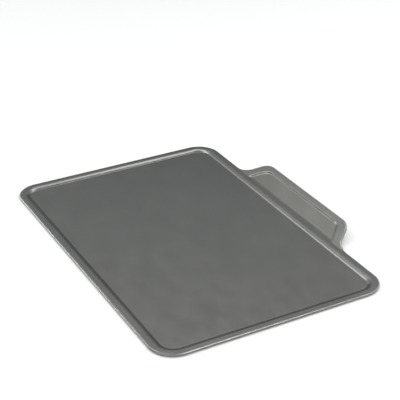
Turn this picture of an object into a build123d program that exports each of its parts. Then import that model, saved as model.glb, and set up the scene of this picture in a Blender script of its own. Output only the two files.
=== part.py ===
from build123d import *
import math
import os

# Cookie sheet: one steel pressing with a shallow tray, a flat rim, a tilted tab handle on one
# long side and a rolled edge that runs without a break round the tray and the handle.
# Inside the roll lies a closed loop of wire. A thin release coating covers both sides.
# Millimetres. +Z is up, +X runs along the long side and +Y points to the handle. The origin
# is the middle of the tray's flat underside, which is what the sheet stands on.

# Tray
body_length = 431.8
body_width = 293.5
corner_radius = 30.4
tray_depth = 2.6
steel_thickness = 0.8
coating_thickness = 0.04

# Rim and the sloping wall between the rim and the tray's floor
rim_flat_width = 5.1
wall_shoulder_radius = 11
wall_foot_radius = 1.5
wall_straight_length = 0.2

# Rolled edge and its wire
roll_diameter = 3.4
roll_wrap = 280
wire_clearance = 0.06

# Tab handle, measured in its own tilted plane from the bend at the back of the rim
handle_tilt = 26.2
handle_reach = 31.7
handle_base_width = 225.6
handle_side_angle = 55.98
handle_corner_radius = 19.7
handle_neck_radius = 29.6
handle_bend_radius = 12

# Recess pressed into the handle, which runs out into the rim at the bend
recess_depth = 1.3
recess_side_margin = 10.1
recess_tip_margin = 5.3
recess_corner_radius = 22
recess_slope = 30
recess_edge_radius = 3

# How far cutting solids run past what they cut
overrun = 12

# Sizes that follow from the ones above
skin_thickness = steel_thickness + 2 * coating_thickness
roll_radius = roll_diameter / 2
rim_top = skin_thickness + tray_depth
roll_height = rim_top - roll_radius
half_length = body_length / 2 - roll_radius
half_width = body_width / 2 - roll_radius
roll_corner_radius = corner_radius - roll_radius
wire_radius = roll_radius - coating_thickness - steel_thickness - wire_clearance
side_lean = 1 / math.tan(math.radians(handle_side_angle))
wall_radii = wall_shoulder_radius + wall_foot_radius
wall_turn = math.acos((wall_radii - tray_depth) / math.hypot(wall_radii, wall_straight_length))
wall_slope = math.degrees(wall_turn - math.atan(wall_straight_length / wall_radii))

UP = Vector(0, 0, 1)
ACROSS = Vector(1, 0, 0)
HANDLE_UP = UP.rotate(Axis.X, handle_tilt)
FLAT = Plane(origin=(0, 0, roll_height), x_dir=ACROSS, z_dir=UP)
TILTED = Plane(origin=(0, half_width, roll_height), x_dir=ACROSS, z_dir=HANDLE_UP)


def tray_outline(inset):
    """The tray's rounded rectangle, a stated distance inside the middle of the roll."""
    length = 2 * (half_length - inset)
    width = 2 * (half_width - inset)
    return RectangleRounded(length, width, roll_corner_radius - inset)


def neck_start():
    """Where the neck's curve leaves the straight back edge, out from the middle."""
    half_turn = math.radians(handle_side_angle) / 2
    return handle_base_width / 2 + handle_neck_radius * math.tan(half_turn)


def tray_roll_path():
    """Middle of the roll round the tray, from one neck of the handle to the other."""
    neck = neck_start()
    points = [
        (-neck, half_width),
        (-half_length, half_width),
        (-half_length, -half_width),
        (half_length, -half_width),
        (half_length, half_width),
        (neck, half_width),
    ]
    return FilletPolyline(*points, radius=roll_corner_radius).order_edges()


def handle_roll_path():
    """Middle of the roll round the handle, in the handle's own plane."""
    neck = neck_start() + overrun
    half_base = handle_base_width / 2
    half_tip = half_base - side_lean * handle_reach
    points = [
        (neck, 0),
        (half_base, 0),
        (half_tip, handle_reach),
        (-half_tip, handle_reach),
        (-half_base, 0),
        (-neck, 0),
    ]
    radii = [handle_neck_radius, handle_corner_radius, handle_corner_radius, handle_neck_radius]
    edges = FilletPolyline(*points, radius=radii).order_edges()
    return edges[1:-1]


def recess_points():
    """Sharp corners of the recess's upper edge, with its sides carried on below the bend."""
    side = handle_base_width / 2 - recess_side_margin * math.hypot(1, side_lean)
    tip = handle_reach - recess_tip_margin
    tip_x = side - side_lean * tip
    foot_x = side + side_lean * overrun
    return [(foot_x, -overrun), (tip_x, tip), (-tip_x, tip), (-foot_x, -overrun)]


def along(profile, path, base):
    """Carry a profile along a path of lines and arcs on a plane, its x inward, its y up."""
    up = base.z_dir
    runs = []
    for flat_edge in path:
        edge = base * flat_edge
        start = edge @ 0
        heading = edge % 0
        inward = up.cross(heading)
        section = Plane(origin=start, x_dir=inward, z_dir=heading) * profile
        if edge.geom_type == GeomType.CIRCLE:
            centre = edge.arc_center
            turns_in = (centre - start).dot(inward) > 0
            turn_axis = Axis(centre, up if turns_in else -up)
            turn = math.degrees(edge.length / edge.radius)
            runs.append(revolve(section, turn_axis, turn))
        else:
            runs.append(extrude(section, amount=edge.length, dir=heading))
    return runs


def slope_run(depth, slope, shoulder_radius, foot_radius):
    """Width in plan of a wall of two arcs and the straight between them."""
    turn = math.radians(slope)
    radii = shoulder_radius + foot_radius
    straight = (depth - radii * (1 - math.cos(turn))) / math.sin(turn)
    return radii * math.sin(turn) + straight * math.cos(turn)


def above_slope(depth, slope, shoulder_radius, foot_radius, level):
    """Profile of the space above such a wall, for the surface at a level above its skin."""
    turn = math.radians(slope)
    run = slope_run(depth, slope, shoulder_radius, foot_radius)
    shoulder = shoulder_radius + level
    foot = foot_radius - level
    shoulder_end = (shoulder * math.sin(turn), shoulder * math.cos(turn) - shoulder_radius)
    foot_start = (
        run - foot * math.sin(turn),
        foot_radius - depth - foot * math.cos(turn),
    )
    edges = [
        TangentArc((0, level), shoulder_end, tangent=(1, 0)),
        Line(shoulder_end, foot_start),
        TangentArc((run, level - depth), foot_start, tangent=(-1, 0)),
        Line((run, level - depth), (run, overrun)),
        Line((run, overrun), (0, overrun)),
        Line((0, overrun), (0, level)),
    ]
    return make_face(edges)


def tray_space(level):
    """The space above the tray's floor and wall, up past the rim."""
    wall = (tray_depth, wall_slope, wall_shoulder_radius, wall_foot_radius)
    top = Plane(origin=(0, 0, rim_top), x_dir=ACROSS, z_dir=UP)
    path = tray_outline(rim_flat_width).wire().order_edges()
    runs = along(above_slope(*wall, level), path, top)
    floor = tray_outline(rim_flat_width + slope_run(*wall))
    middle = Pos(0, 0, skin_thickness + level) * extrude(floor, tray_depth + overrun - level)
    return middle.fuse(*runs)


def recess_space(level):
    """The space above the handle's recess, up past the handle's border."""
    wall = (recess_depth, recess_slope, recess_edge_radius, recess_edge_radius)
    run = slope_run(*wall)
    top = TILTED.offset(roll_radius)
    outline = FilletPolyline(*recess_points(), radius=recess_corner_radius)
    runs = along(above_slope(*wall, level), outline.order_edges(), top)
    closed = Wire(outline.edges() + [Line(outline @ 1, outline @ 0)])
    floor = make_face(closed.offset_2d(-run).edges())
    middle = top.offset(level - recess_depth) * extrude(floor, recess_depth + overrun - level)
    return middle.fuse(*runs)


def bend_filling(level, spare):
    """Rounds the crease where the recess runs out into the rim, along the bend."""
    turn = math.radians(handle_tilt)
    above_rim = roll_radius + handle_bend_radius
    above_recess = above_rim - recess_depth
    out = (above_rim * math.cos(turn) - above_recess) / math.sin(turn)
    centre = Vector(0, half_width + out, roll_height + above_rim)
    radius = handle_bend_radius - level
    rim_touch = centre - radius * UP
    floor_touch = centre - radius * HANDLE_UP
    arc = RadiusArc((rim_touch.Y, rim_touch.Z), (floor_touch.Y, floor_touch.Z), -radius)
    below_floor = floor_touch - skin_thickness * HANDLE_UP
    below_rim = rim_touch - skin_thickness * UP
    sides = Polyline(
        (floor_touch.Y, floor_touch.Z),
        (below_floor.Y, below_floor.Z),
        (below_rim.Y, below_rim.Z),
        (rim_touch.Y, rim_touch.Z),
    )
    section = Plane.YZ * make_face(arc.edges() + sides.edges())
    return extrude(section, handle_base_width / 2 + spare, both=True)


def under_surface(level, spare):
    """Everything under the sheet's upper surface, moved by a level along its normal."""
    rim = Pos(0, 0, -spare) * extrude(tray_outline(-spare), rim_top + level + spare)
    block = Pos(0, handle_reach / 2) * Rectangle(
        2 * (neck_start() + spare), handle_reach + 2 * spare
    )
    handle = TILTED.offset(-spare) * extrude(block, roll_radius + level + spare)
    tray = rim - tray_space(level)
    return tray + (handle - recess_space(level)) + bend_filling(level, spare)


def sheet_outline():
    """The space within the middle of the roll, all round the tray and the handle."""
    tray = Pos(0, 0, -overrun) * extrude(tray_outline(0), rim_top + 2 * overrun)
    path = handle_roll_path()
    hinge = Line(path[-1] @ 1, path[0] @ 0)
    face = make_face(path + [hinge])
    handle = TILTED.offset(-overrun) * extrude(face, roll_radius + 2 * overrun)
    return tray + handle


def rolled_edge(upper, lower):
    """The roll between two levels of the surface, which it carries on outward and under."""
    outside = roll_radius + upper
    inside = roll_radius + lower
    outer_arc = CenterArc((0, 0), outside, 90, roll_wrap)
    inner_arc = CenterArc((0, 0), inside, 90, roll_wrap)
    ends = [
        Line(outer_arc @ 0, inner_arc @ 0),
        Line(outer_arc @ 1, inner_arc @ 1),
    ]
    profile = make_face([outer_arc, inner_arc] + ends)
    runs = along(profile, tray_roll_path(), FLAT)
    return runs + along(profile, handle_roll_path(), TILTED)


def layer(upper, lower):
    """One layer of the sheet inside its rolled edge, between two levels of the surface."""
    over = under_surface(upper, overrun)
    under = under_surface(lower, 2 * overrun)
    return (over - under) & sheet_outline()


def rim_wire():
    """Closed loop of round wire in the middle of the roll."""
    section = Circle(wire_radius)
    runs = along(section, tray_roll_path(), FLAT)
    runs += along(section, handle_roll_path(), TILTED)
    return runs[0].fuse(*runs[1:])


def pressed_sheet():
    """The steel pressing: tray, rim, handle and the edge rolled round the wire."""
    upper = -coating_thickness
    lower = upper - steel_thickness
    return layer(upper, lower).fuse(*rolled_edge(upper, lower))


def cooking_side_coating(steel):
    """Release coating on the upper side, which goes on round the outside of the roll."""
    upper = 0
    lower = -coating_thickness
    coating = layer(upper, lower).fuse(*rolled_edge(upper, lower))
    return coating - steel


def underside_coating(steel):
    """Release coating on the underside, from the flat base out to the roll."""
    upper = -coating_thickness - steel_thickness
    return layer(upper, -skin_thickness) - steel


steel = pressed_sheet()
nodes = {
    "pressed_sheet": steel,
    "rim_wire": rim_wire(),
    "cooking_side_coating": cooking_side_coating(steel),
    "underside_coating": underside_coating(steel),
}

os.makedirs("parts", exist_ok=True)
for name, shape in nodes.items():
    export_step(shape, f"parts/{name}.step")
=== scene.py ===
"""Looks of the cookie sheet: its coated pressing, its wire, a pale floor and soft studio light.

Metres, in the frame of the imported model: +Z is up, +X runs along the long side and +Y points
to the handle. The origin is the middle of the tray's flat underside.
"""

import math

import bpy
import numpy as np
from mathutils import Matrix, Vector
from mathutils.geometry import delaunay_2d_cdt


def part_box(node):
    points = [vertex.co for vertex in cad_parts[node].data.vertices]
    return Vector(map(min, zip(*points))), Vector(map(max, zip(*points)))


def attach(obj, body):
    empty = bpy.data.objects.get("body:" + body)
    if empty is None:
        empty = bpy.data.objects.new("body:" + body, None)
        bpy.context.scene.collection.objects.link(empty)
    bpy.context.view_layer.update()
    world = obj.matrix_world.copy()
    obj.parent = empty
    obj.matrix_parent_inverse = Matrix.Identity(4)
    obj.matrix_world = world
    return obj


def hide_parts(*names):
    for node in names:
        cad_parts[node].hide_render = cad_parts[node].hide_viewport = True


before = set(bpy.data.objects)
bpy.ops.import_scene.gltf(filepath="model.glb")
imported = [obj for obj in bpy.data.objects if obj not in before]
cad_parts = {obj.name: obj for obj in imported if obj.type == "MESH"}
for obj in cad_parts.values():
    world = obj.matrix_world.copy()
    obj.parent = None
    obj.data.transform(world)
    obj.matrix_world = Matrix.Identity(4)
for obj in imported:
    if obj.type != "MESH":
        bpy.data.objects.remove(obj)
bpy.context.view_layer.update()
sheet_low, sheet_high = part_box("cooking_side_coating")

# Sheet: its layers, tray, rim and wall
steel_thickness = 0.0008
coating_thickness = 0.00004
tray_depth = 0.0026
rim_flat_width = 0.0051
wall_shoulder_radius = 0.011
wall_foot_radius = 0.0015
wall_straight_length = 0.0002

# Rolled edge and the wire in it
roll_radius = 0.0017
roll_wrap = math.radians(280)
wire_clearance = 0.00006
corner_radius = 0.0304

# Handle, measured in its own tilted plane from the bend at the back of the rim
handle_tilt = math.radians(26.2)
handle_side_angle = math.radians(55.98)
handle_reach = 0.0317
handle_base_width = 0.2256
handle_corner_radius = 0.0197
handle_neck_radius = 0.0296
fold_radius = 0.0065
fold_fade = 0.0088

# Recess pressed into the handle
recess_depth = 0.0013
recess_side_margin = 0.0101
recess_tip_margin = 0.0053
recess_corner_radius = 0.022
recess_slope = math.radians(30)
recess_edge_radius = 0.003
recess_bend_radius = 0.012

# Sizes that follow from the ones above and from the frame
skin_thickness = steel_thickness + 2 * coating_thickness
rim_top = skin_thickness + tray_depth
half_length = sheet_high.x - roll_radius
half_width = -sheet_low.y - roll_radius
roll_corner_radius = corner_radius - roll_radius
wire_radius = roll_radius - coating_thickness - steel_thickness - wire_clearance
side_lean = 1 / math.tan(handle_side_angle)
wall_radii = wall_shoulder_radius + wall_foot_radius
wall_turn = math.acos((wall_radii - tray_depth) / math.hypot(wall_radii, wall_straight_length))
wall_slope = wall_turn - math.atan(wall_straight_length / wall_radii)
half_base = handle_base_width / 2
half_tip = half_base - side_lean * handle_reach
neck_start = half_base + handle_neck_radius * math.tan(handle_side_angle / 2)
half_fold = fold_radius * math.tan(handle_tilt / 2)
tray_wall = (tray_depth, wall_slope, wall_shoulder_radius, wall_foot_radius)
recess_wall = (recess_depth, recess_slope, recess_edge_radius, recess_edge_radius)

# Fineness of the meshes
arc_step = math.radians(3)
longest_step = 0.012
roll_steps = 36
wall_steps = 20
recess_steps = 14
fold_steps = 12
wire_sides = 20
drop_rounds = 12

# Small distances: the move that a slope is taken over, points that near count as one, and the
# gap between a curve's end and the sheet's edge
slight_move = 1e-6
same_place = 1e-7
curve_gap = 0.0003

# Where the roll is rubbed most: this far round from its top, on the outside
rubbed_middle = math.radians(60)

# Detail of the noises, from plain to fine
plain_detail, soft_detail, fine_detail = 2, 3, 4

# Release coating: its colour, roughness and grain on each side of the sheet
coating_metallic = 0.9
upper_colour = (0.2435, 0.2443, 0.234)
upper_roughness, upper_grain_height = 0.24, 2e-6
lower_colour = (0.17, 0.174, 0.168)
lower_roughness, lower_grain_height = 0.32, 4e-6
grain_size = 0.0009

# Its patterns: their sizes and shares, and the range of each noise that is carried to 0 to 1
cloud_size, cloud_share, cloud_range = 0.09, 0.45, (0.3, 0.7)
smudge_size, smudge_share, smudge_range = 0.022, 0.35, (0.35, 0.65)
smudge_stretch = (1.7, 1, 1)
speck_size, speck_share, speck_range = 0.0022, 0.2, (0.35, 0.65)
dark_share, light_share = 0.92, 1.08
roughness_spread = 0.02

# Its rubbed patches: the most that is rubbed away, and how much lighter and smoother that makes it
rub_size, rub_range, rub_most = 0.006, (0.42, 0.7), 0.5
rubbed_share = 1.5
rubbed_smoothing = 0.1

# Bare steel: colour and roughness of the pressing and of the wire
sheet_colour, sheet_roughness = (0.56, 0.55, 0.54), 0.3
wire_colour, wire_roughness = (0.6, 0.6, 0.61), 0.28

# Its lines and its oxide, which both turn it dull
sheet_line_stretch, wire_line_stretch = (60, 1, 1), (6, 6, 1)
line_size, line_range, line_most = 0.0004, (0.35, 0.65), 0.35
line_height = 1.5e-6
oxide_range = (0.35, 0.7)
oxide_roughening = 0.15
dull_share = 0.72


def unit(vectors):
    """Vectors scaled to a length of one."""
    return vectors / np.linalg.norm(vectors, axis=-1, keepdims=True)


def turn_between(coming, going):
    """The signed turn from one heading to another."""
    return math.atan2(coming[0] * going[1] - coming[1] * going[0], coming @ going)


def rotated(vector, angle):
    """A vector in the flat pattern, turned by an angle."""
    c, s = math.cos(angle), math.sin(angle)
    return np.array([c * vector[0] - s * vector[1], s * vector[0] + c * vector[1]])


def rounded_path(points, radii, closed=True):
    """Stations on a polyline whose corners are arcs: their places and their headings."""
    points = [np.array(point, float) for point in points]
    count = len(points)
    places, headings = [], []
    for i in range(count if closed else count - 1):
        here, after = points[i], points[(i + 1) % count]
        run = unit(after - here)
        start, end = here, after
        if closed or i > 0:
            coming = unit(here - points[i - 1])
            turn = turn_between(coming, run)
            cut = radii[i] * math.tan(abs(turn) / 2)
            side = np.array([-coming[1], coming[0]]) * math.copysign(1, turn)
            begin = here - coming * cut
            centre = begin + side * radii[i]
            steps = max(1, math.ceil(abs(turn) / arc_step))
            for k in range(steps):
                angle = turn * k / steps
                places.append(centre + rotated(begin - centre, angle))
                headings.append(rotated(coming, angle))
            start = here + run * cut
        if closed or i < count - 2:
            turn = turn_between(run, unit(points[(i + 2) % count] - after))
            end = after - run * radii[(i + 1) % count] * math.tan(abs(turn) / 2)
        steps = max(1, math.ceil(np.linalg.norm(end - start) / longest_step))
        for k in range(steps):
            places.append(start + (end - start) * k / steps)
            headings.append(run)
    if not closed:
        places.append(points[-1])
        headings.append(run)
    return np.array(places), np.array(headings)


def tray_corners(inset):
    """Sharp corners of the tray's outline, a stated distance inside the middle of the roll."""
    x, y = half_length - inset, half_width - inset
    return [(-x, y), (-x, -y), (x, -y), (x, y)]


def sheet_path():
    """Middle of the roll all round the sheet in the flat pattern, with the handle unfolded."""
    handle = [
        (half_base, half_width),
        (half_tip, half_width + handle_reach),
        (-half_tip, half_width + handle_reach),
        (-half_base, half_width),
    ]
    neck, corner = handle_neck_radius, handle_corner_radius
    radii = [roll_corner_radius] * 4 + [neck, corner, corner, neck]
    return rounded_path(tray_corners(0) + handle, radii)


def slope_run(depth, slope, shoulder, foot):
    """Width in plan of a wall of two arcs and the straight between them."""
    straight = (depth - (shoulder + foot) * (1 - math.cos(slope))) / math.sin(slope)
    return (shoulder + foot) * math.sin(slope) + straight * math.cos(slope)


def slope_depth(t, depth, slope, shoulder, foot):
    """Depth below the wall's upper edge, a distance t in from that edge."""
    run = slope_run(depth, slope, shoulder, foot)
    t = np.clip(t, 0, run)
    shoulder_end = shoulder * math.sin(slope)
    foot_start = run - foot * math.sin(slope)
    upper = shoulder - np.sqrt(shoulder**2 - np.minimum(t, shoulder_end) ** 2)
    middle = (np.clip(t, shoulder_end, foot_start) - shoulder_end) * math.tan(slope)
    left = run - np.maximum(t, foot_start)
    lower = foot * (1 - math.cos(slope)) - (foot - np.sqrt(foot**2 - left**2))
    return upper + middle + lower


def slope_samples(steps, depth, slope, shoulder, foot):
    """Distances in from a wall's upper edge that follow its arcs evenly."""
    run = slope_run(depth, slope, shoulder, foot)
    turn = np.linspace(0, slope, steps // 2)
    return np.concatenate([shoulder * np.sin(turn), run - foot * np.sin(turn[::-1])])


def tray_inset(u, v):
    """Distance inside the tray's outline, in the flat pattern."""
    across = np.abs(u) - (half_length - roll_corner_radius)
    along = np.abs(v) - (half_width - roll_corner_radius)
    corner = np.hypot(np.maximum(across, 0), np.maximum(along, 0))
    return roll_corner_radius - corner - np.minimum(np.maximum(across, along), 0)


def recess_inset(u, v):
    """Distance inside the recess's upper edge, in the flat pattern."""
    out = v - half_width
    side_normal = np.array([math.sin(handle_side_angle), math.cos(handle_side_angle)])
    from_side = (half_base - np.abs(u)) * side_normal[0] - out * side_normal[1]
    from_side = from_side - recess_side_margin
    from_tip = handle_reach - recess_tip_margin - out
    radius = recess_corner_radius
    tip = handle_reach - recess_tip_margin - radius
    centre_u = half_base - (tip * side_normal[1] + recess_side_margin + radius) / side_normal[0]
    du, dv = np.abs(u) - centre_u, out - tip
    past_side = dv * side_normal[0] - du * side_normal[1] > 0
    past_tip = du > 0
    from_edge = np.minimum(from_side, from_tip)
    return np.where(past_side & past_tip, radius - np.hypot(du, dv), from_edge)


def fold_middle(out):
    """Turn, and place past the hinge and above the rim's middle plane, on the folded sheet."""
    turn = handle_tilt * np.clip((out + half_fold) / (2 * half_fold), 0, 1)
    past = np.maximum(out - half_fold, 0)
    before = np.minimum(out, -half_fold)
    y = before + fold_radius * np.sin(turn) + past * math.cos(handle_tilt)
    z = fold_radius * (1 - np.cos(turn)) + past * math.sin(handle_tilt)
    return turn, y, z


def recess_bend():
    """Where the recess's floor leaves the rim and where it is straight again, past the hinge."""
    reach = recess_bend_radius * math.tan(handle_tilt / 2)
    border = roll_radius * math.tan(handle_tilt / 2)
    crease = recess_depth / math.sin(handle_tilt) - border
    return crease - reach, crease + reach * math.cos(handle_tilt)


def recess_section(y):
    """Height of the recess's floor above the rim, a distance y past the hinge."""
    start, end = recess_bend()
    on_arc = np.clip(y - start, 0, end - start)
    arc = recess_bend_radius - np.sqrt(recess_bend_radius**2 - on_arc**2)
    return arc + np.maximum(y - end, 0) * math.tan(handle_tilt)


def recess_drop(out):
    """Depth of the recess's floor below the handle's border, fading out over the bend."""
    turn, y, z = fold_middle(out)
    top_y, top_z = y - roll_radius * np.sin(turn), z - roll_radius * (1 - np.cos(turn))
    drop = np.zeros_like(out)
    # Each round brings the drop nearer to where it meets the floor's section
    for _ in range(drop_rounds):
        above = top_z - drop * np.cos(turn) - recess_section(top_y + drop * np.sin(turn))
        drop = np.maximum(drop + above * math.cos(handle_tilt), 0)
    return drop


def eased(share):
    """A share from 0 to 1, eased at both ends."""
    return share * share * (3 - 2 * share)


def upper_surface(u, v):
    """The sheet's upper surface for places in the flat pattern."""
    out = v - half_width
    turn, y, z = fold_middle(out)
    sunk = slope_depth(tray_inset(u, v) - rim_flat_width, *tray_wall)
    recess = slope_depth(recess_inset(u, v), *recess_wall) / recess_depth
    sunk = np.where(out < -half_fold, sunk, recess * recess_drop(out))
    up = roll_radius - sunk
    middle = rim_top - roll_radius
    flat = np.stack([u, v, middle + up], -1)
    bent_y = half_width + y - up * np.sin(turn)
    bent = np.stack([u, bent_y, middle + z + up * np.cos(turn)], -1)
    fade = eased(np.clip((neck_start + fold_fade - np.abs(u)) / (2 * fold_fade), 0, 1))
    return flat + fade[..., None] * (bent - flat)


def slopes(u, v):
    """How the upper surface moves along the flat pattern's two directions."""
    along_u = upper_surface(u + slight_move, v) - upper_surface(u - slight_move, v)
    along_v = upper_surface(u, v + slight_move) - upper_surface(u, v - slight_move)
    return along_u, along_v


def upper_normal(u, v):
    """The upper surface's normal for places in the flat pattern."""
    along_u, along_v = slopes(u, v)
    return unit(np.cross(along_u, along_v))


def guide_curves():
    """Curves in the flat pattern that the mesh follows, as (places, closed)."""
    curves = []
    for t in slope_samples(wall_steps, *tray_wall):
        inset = rim_flat_width + t
        places, _ = rounded_path(tray_corners(inset), [roll_corner_radius - inset] * 4)
        curves.append((places, True))
    side_reach = math.hypot(1, side_lean)
    for t in slope_samples(recess_steps, *recess_wall):
        side = half_base - (recess_side_margin + t) * side_reach
        tip = handle_reach - recess_tip_margin - t
        foot_x, tip_x = side + side_lean * half_fold, side - side_lean * tip
        foot_y, tip_y = half_width - half_fold, half_width + tip
        points = [(foot_x, foot_y), (tip_x, tip_y), (-tip_x, tip_y), (-foot_x, foot_y)]
        radius = recess_corner_radius - t
        curves.append((rounded_path(points, [0, radius, radius, 0], closed=False)[0], False))
    _, bend_end = recess_bend()
    up_slope = (roll_radius - recess_depth) * math.tan(handle_tilt)
    fold_end = bend_end / math.cos(handle_tilt) + up_slope
    for out in np.linspace(-half_fold, half_fold, fold_steps):
        curves.append(across_handle(out))
    for out in np.linspace(half_fold, fold_end, fold_steps)[1:]:
        curves.append(across_handle(out))
    return curves


def across_handle(out):
    """A straight curve across the handle, stopped short of its edges."""
    end = neck_start + fold_fade
    if out > 0:
        neck_rise = handle_neck_radius * (1 - math.cos(handle_side_angle))
        if out < neck_rise:
            end = neck_start - math.sqrt(handle_neck_radius**2 - (handle_neck_radius - out) ** 2)
        else:
            end = half_base - side_lean * out
    end = end - curve_gap
    steps = math.ceil(2 * end / longest_step)
    u = np.linspace(-end, end, steps + 1)
    return np.stack([u, np.full_like(u, half_width + out)], -1), False


def triangulated(outline, curves):
    """Triangles of the flat pattern inside the outline, which comes first in the points."""
    points, edges = list(outline), [(i, (i + 1) % len(outline)) for i in range(len(outline))]
    for places, closed in curves:
        first = len(points)
        points.extend(places)
        last = len(points) - 1
        edges.extend((i, i + 1) for i in range(first, last))
        if closed:
            edges.append((last, first))
    corners = [Vector(point) for point in points]
    border = [list(range(len(outline)))]
    inside_only = 1
    made = delaunay_2d_cdt(corners, edges, border, inside_only, same_place)
    places, _, faces, sources, _, _ = made
    order = {}
    for new, old in enumerate(sources):
        for number in old:
            if number < len(outline):
                order[number] = new
    return np.array([tuple(p) for p in places]), [tuple(f) for f in faces], order


def ring_faces(here, beyond):
    """Faces between two closed rings that have as many points."""
    count = len(here)
    faces = []
    for i in range(count):
        j = (i + 1) % count
        faces.append((here[i], beyond[i], beyond[j], here[j]))
    return faces


class Skin:
    """The sheet's upper surface: points, normals, faces, and the loop where it ends."""

    def __init__(self):
        places, headings = sheet_path()
        pattern, self.inner_faces, order = triangulated(places, guide_curves())
        self.points, self.normals = upper_surface(*pattern.T), upper_normal(*pattern.T)
        self.rubbed = np.zeros(len(pattern))
        self.rim = [order[i] for i in range(len(places))]
        self.up = self.normals[self.rim]
        along_u, along_v = slopes(*places.T)
        ahead = unit(headings[:, :1] * along_u + headings[:, 1:] * along_v)
        self.inward = unit(np.cross(self.up, ahead))
        self.centres = self.points[self.rim] - roll_radius * self.up
        self.add_roll()

    def spokes(self, angle):
        """Directions out from the middle of the roll, turned up from inward by an angle."""
        return math.cos(angle) * self.inward + math.sin(angle) * self.up

    def add_roll(self):
        """Carries the surface on round the rolled edge, ring by ring."""
        count, first = len(self.rim), len(self.points)
        points, normals, rubbed = [self.points], [self.normals], [self.rubbed]
        rings = [self.rim]
        for k in range(roll_steps):
            turned = roll_wrap * (k + 1) / roll_steps
            spokes = self.spokes(math.pi / 2 + turned)
            points.append(self.centres + roll_radius * spokes)
            normals.append(spokes)
            near_crown = max(0, math.cos(turned - rubbed_middle))
            rubbed.append(np.full(count, near_crown**2))
            rings.append(range(first + k * count, first + (k + 1) * count))
        self.points, self.normals = np.concatenate(points), np.concatenate(normals)
        self.rubbed = np.concatenate(rubbed)
        self.roll_faces = []
        for here, beyond in zip(rings[:-1], rings[1:]):
            self.roll_faces += ring_faces(here, beyond)
        self.end = rings[-1]

    def layer(self, name, upper, lower, with_roll=True):
        """A closed shell between two levels above the surface."""
        faces = self.inner_faces + (self.roll_faces if with_roll else [])
        loop = self.end if with_roll else self.rim
        used = np.unique(np.concatenate([np.array(face) for face in faces]))
        new = np.full(len(self.points), -1)
        new[used] = np.arange(len(used))
        points, normals = self.points[used], self.normals[used]
        count = len(used)
        above = [tuple(new[list(face)]) for face in faces]
        below = [tuple(new[list(face)][::-1] + count) for face in faces]
        loop = new[loop]
        after = np.roll(loop, -1)
        caps = np.stack([loop, loop + count, after + count, after], -1)
        places = np.concatenate([points + upper * normals, points + lower * normals])
        both = np.concatenate([normals, -normals])
        shading = [both[list(face)] for face in above + below]
        corner = places[caps]
        flat = unit(np.cross(corner[:, 1] - corner[:, 0], corner[:, 3] - corner[:, 0]))
        shading += [np.repeat(n[None], 4, 0) for n in flat]
        piece = make_piece(name, places, above + below + [tuple(c) for c in caps], shading)
        rubbed = piece.data.attributes.new("rubbed", "FLOAT", "POINT")
        rubbed.data.foreach_set("value", np.tile(self.rubbed[used], 2))
        return piece


def make_piece(name, places, faces, shading):
    """A mesh piece with the given normal at each corner of each face."""
    mesh = bpy.data.meshes.new(name)
    mesh.from_pydata([tuple(p) for p in places], [], [tuple(int(i) for i in f) for f in faces])
    mesh.shade_smooth()
    mesh.normals_split_custom_set([tuple(n) for n in np.concatenate(shading)])
    piece = bpy.data.objects.new(name, mesh)
    bpy.context.scene.collection.objects.link(piece)
    return piece


def wire_loop(name, skin):
    """The closed loop of wire in the middle of the roll."""
    count = len(skin.centres)
    spokes = [skin.spokes(2 * math.pi * k / wire_sides) for k in range(wire_sides)]
    places = np.concatenate([skin.centres + wire_radius * spoke for spoke in spokes])
    spokes = np.concatenate(spokes)
    rings = [range(k * count, (k + 1) * count) for k in range(wire_sides)]
    faces = []
    for here, beyond in zip(rings, rings[1:] + rings[:1]):
        faces += ring_faces(here, beyond)
    return make_piece(name, places, faces, [spokes[list(face)] for face in faces])


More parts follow.
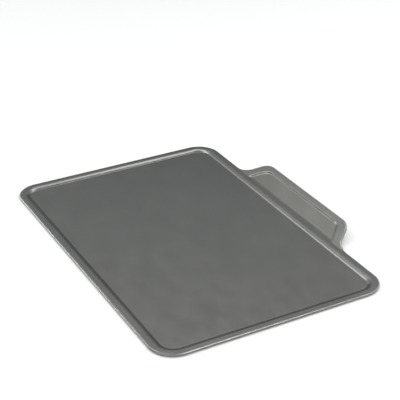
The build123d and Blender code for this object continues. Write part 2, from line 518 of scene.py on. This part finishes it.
class Finish:
    """A procedural material: a Principled shader whose inputs are patterned by place."""

    # The Mix node's sockets for colours
    mixed_pair = slice(6, 8)
    mixed_result = 2

    def __init__(self, name, metallic):
        self.material = bpy.data.materials.new(name)
        self.material.use_nodes = True
        self.tree = self.material.node_tree
        self.shader = self.tree.nodes["Principled BSDF"]
        self.shader.inputs["Metallic"].default_value = metallic
        self.place = self.tree.nodes.new("ShaderNodeTexCoord").outputs["Object"]

    def node(self, kind, inputs, **settings):
        """A node whose inputs are values or come from other nodes' outputs."""
        made = self.tree.nodes.new(kind)
        for key, value in settings.items():
            setattr(made, key, value)
        for key, value in inputs.items():
            if isinstance(value, bpy.types.NodeSocket):
                self.tree.links.new(value, made.inputs[key])
            else:
                made.inputs[key].default_value = value
        return made

    def noise(self, size, detail=plain_detail, stretch=(1, 1, 1)):
        """Noise about 0.5 whose blotches are about as long as size, times the stretch."""
        scale = [1 / (size * share) for share in stretch]
        scaled = self.node("ShaderNodeMapping", {"Vector": self.place, "Scale": scale})
        inputs = {"Vector": scaled.outputs["Vector"], "Scale": 1, "Detail": detail}
        return self.node("ShaderNodeTexNoise", inputs).outputs["Fac"]

    def between(self, source, low, high, to_low=0, to_high=1):
        """The source's range from low to high carried to another range, and held within it."""
        inputs = {"Value": source, "From Min": low, "From Max": high}
        inputs |= {"To Min": to_low, "To Max": to_high}
        return self.node("ShaderNodeMapRange", inputs).outputs["Result"]

    def maths(self, operation, first, second):
        """Two values put through one of the Math node's operations."""
        made = self.node("ShaderNodeMath", {0: first, 1: second}, operation=operation)
        return made.outputs["Value"]

    def mixed(self, share, first, second):
        """A colour between two colours."""
        mix = self.node("ShaderNodeMix", {"Factor": share}, data_type="RGBA")
        for socket, colour in zip(mix.inputs[self.mixed_pair], (first, second)):
            if isinstance(colour, bpy.types.NodeSocket):
                self.tree.links.new(colour, socket)
            else:
                socket.default_value = (*colour, 1)
        return mix.outputs[self.mixed_result]

    def bumps(self, pattern, height):
        """Bumps of a height in metres that follow a pattern."""
        inputs = {"Height": pattern, "Distance": height, "Strength": 1}
        return self.node("ShaderNodeBump", inputs).outputs["Normal"]

    def finish(self, **inputs):
        """Links patterns to the shader's inputs and gives the material."""
        for key, value in inputs.items():
            self.tree.links.new(value, self.shader.inputs[key.replace("_", " ").title()])
        return self.material


def release_coating(name, colour, roughness, grain_height):
    """Satin release coating: faint clouds and smudges, fine pebbles, rubbed patches on the roll."""
    coat = Finish(name, coating_metallic)
    clouds = coat.between(coat.noise(cloud_size, soft_detail), *cloud_range)
    smudges = coat.noise(smudge_size, fine_detail, smudge_stretch)
    smudges = coat.between(smudges, *smudge_range)
    specks = coat.between(coat.noise(speck_size, soft_detail), *speck_range)
    pattern = coat.maths("MULTIPLY", clouds, cloud_share)
    pattern = coat.maths("ADD", pattern, coat.maths("MULTIPLY", smudges, smudge_share))
    pattern = coat.maths("ADD", pattern, coat.maths("MULTIPLY", specks, speck_share))
    shares = (dark_share, light_share, rubbed_share)
    dark, light, thin = [[c * share for c in colour] for share in shares]
    base = coat.mixed(pattern, dark, light)
    rubbed = coat.node("ShaderNodeAttribute", {}, attribute_name="rubbed").outputs["Fac"]
    patchy = coat.between(coat.noise(rub_size, fine_detail), *rub_range, 0, rub_most)
    worn = coat.maths("MULTIPLY", rubbed, patchy)
    base = coat.mixed(worn, base, thin)
    smoothest, roughest = roughness - roughness_spread, roughness + roughness_spread
    rough = coat.between(smudges, 0, 1, smoothest, roughest)
    rough = coat.maths("SUBTRACT", rough, coat.maths("MULTIPLY", worn, rubbed_smoothing))
    pebbles = coat.bumps(coat.noise(grain_size), grain_height)
    return coat.finish(Base_Color=base, Roughness=rough, Normal=pebbles)


def bare_steel(name, colour, roughness, line_stretch):
    """Bare steel: fine lines left by rolls or dies, and faint clouds of oxide."""
    steel = Finish(name, 1)
    lines = steel.noise(line_size, plain_detail, line_stretch)
    oxide = steel.between(steel.noise(smudge_size, fine_detail), *oxide_range)
    dull = [c * dull_share for c in colour]
    shade = steel.mixed(oxide, colour, dull)
    streak = steel.between(lines, *line_range, 0, line_most)
    shade = steel.mixed(streak, shade, dull)
    rough = steel.between(oxide, 0, 1, roughness, roughness + oxide_roughening)
    scored = steel.bumps(lines, line_height)
    return steel.finish(Base_Color=shade, Roughness=rough, Normal=scored)


skin = Skin()
steel_under = coating_thickness - skin_thickness
pieces = {
    "cooking_side_coating": skin.layer("upper_coating", 0, -coating_thickness),
    "pressed_sheet": skin.layer("steel_pressing", -coating_thickness, steel_under),
    "underside_coating": skin.layer(
        "lower_coating", steel_under, -skin_thickness, with_roll=False
    ),
    "rim_wire": wire_loop("edge_wire", skin),
}
finishes = {
    "cooking_side_coating": release_coating(
        "upper_release", upper_colour, upper_roughness, upper_grain_height
    ),
    "pressed_sheet": bare_steel("sheet_steel", sheet_colour, sheet_roughness, sheet_line_stretch),
    "underside_coating": release_coating(
        "lower_release", lower_colour, lower_roughness, lower_grain_height
    ),
    "rim_wire": bare_steel("wire_steel", wire_colour, wire_roughness, wire_line_stretch),
}
for node, piece in pieces.items():
    piece.data.materials.append(finishes[node])
    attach(piece, "root")
    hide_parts(node)

# Camera, from the fitted view. Its sensor is set in millimetres
millimetres = 1000
picture_size = 400
focal_pixels = 1157.28
sensor_width = 0.036
camera_place = Vector((1.08734, -0.57630, 0.72008))
look_at = Vector((-0.07793, 0.05961, -0.0009))
camera = bpy.data.objects.new("camera", bpy.data.cameras.new("camera"))
camera.data.sensor_width = sensor_width * millimetres
camera.data.lens = camera.data.sensor_width * focal_pixels / picture_size
camera.location = camera_place
camera.rotation_mode = "QUATERNION"
camera.rotation_quaternion = (look_at - camera_place).to_track_quat("-Z", "Y")
bpy.context.scene.collection.objects.link(camera)
bpy.context.scene.camera = camera

# Floor: a wide pale sheet
floor_half = 4.0
floor_white = (0.9, 0.9, 0.9)
floor_signs = [(-1, -1), (1, -1), (1, 1), (-1, 1)]
floor_corners = [(x * floor_half, y * floor_half, 0) for x, y in floor_signs]
floor_mesh = bpy.data.meshes.new("floor")
floor_mesh.from_pydata(floor_corners, [], [range(len(floor_corners))])
floor = bpy.data.objects.new("floor", floor_mesh)
bpy.context.scene.collection.objects.link(floor)
white = bpy.data.materials.new("floor_white")
white.use_nodes = True
white.node_tree.nodes["Principled BSDF"].inputs["Base Color"].default_value = (*floor_white, 1)
floor_mesh.materials.append(white)

# Studio: soft boxes on a dome of this radius, all turned to the middle of the sheet
dome_radius = 2.0
neutral = (1, 1, 1)
warm = (1, 0.96, 0.9)
cool = (0.93, 0.985, 1)
world_strength = 0.14

# Soft boxes: azimuth, elevation, half their width and half their height in degrees, as seen from
# the middle of the sheet, then their strength and their colour
soft_boxes = {
    "right": (70, 42, 34, 14, 1.7, neutral),
    "right_low": (98, 18, 22, 8, 2.0, neutral),
    "right_front": (27, 59, 12, 12, 5.4, neutral),
    "front": (310, 32, 40, 18, 1.2, neutral),
    "overhead": (300, 82, 12, 12, 0.6, neutral),
    "back_low": (150, 31, 32, 7, 0.31, cool),
    "back": (150, 45, 32, 7, 0.34, warm),
    "back_top": (128, 59, 14, 10, 2.5, neutral),
    "back_left": (170, 45, 9, 5, 0.5, neutral),
    "back_left_low": (185, 20, 12, 6, 0.9, neutral),
    "back_left_top": (190, 63, 14, 8, 3.2, neutral),
    "left_gap": (198, 37, 8, 8, 1.0, neutral),
    "left": (222, 47, 16, 10, 2.8, neutral),
    "left_low": (214, 7, 16, 6.5, 5.4, neutral),
}


def soft_box(name, azimuth, elevation, half_across, half_up, strength, colour):
    """A soft box with the sizes and angles that soft_boxes gives."""
    turn, rise = math.radians(azimuth), math.radians(elevation)
    level = math.cos(rise)
    outward = Vector((level * math.cos(turn), level * math.sin(turn), math.sin(rise)))
    light = bpy.data.lights.new(name, "AREA")
    light.shape = "RECTANGLE"
    light.size = 2 * dome_radius * math.tan(math.radians(half_across))
    light.size_y = 2 * dome_radius * math.tan(math.radians(half_up))
    light.energy = strength * math.pi * light.size * light.size_y
    light.color = colour
    lamp = bpy.data.objects.new(name, light)
    lamp.location = dome_radius * outward
    lamp.rotation_mode = "QUATERNION"
    lamp.rotation_quaternion = outward.to_track_quat("Z", "Y")
    bpy.context.scene.collection.objects.link(lamp)


for name, box in soft_boxes.items():
    soft_box(name, *box)

world = bpy.data.worlds.new("studio")
bpy.context.scene.world = world
world.use_nodes = True
background = world.node_tree.nodes["Background"]
background.inputs["Color"].default_value = (*cool, 1)
background.inputs["Strength"].default_value = world_strength

bpy.context.scene.view_settings.view_transform = "Standard"
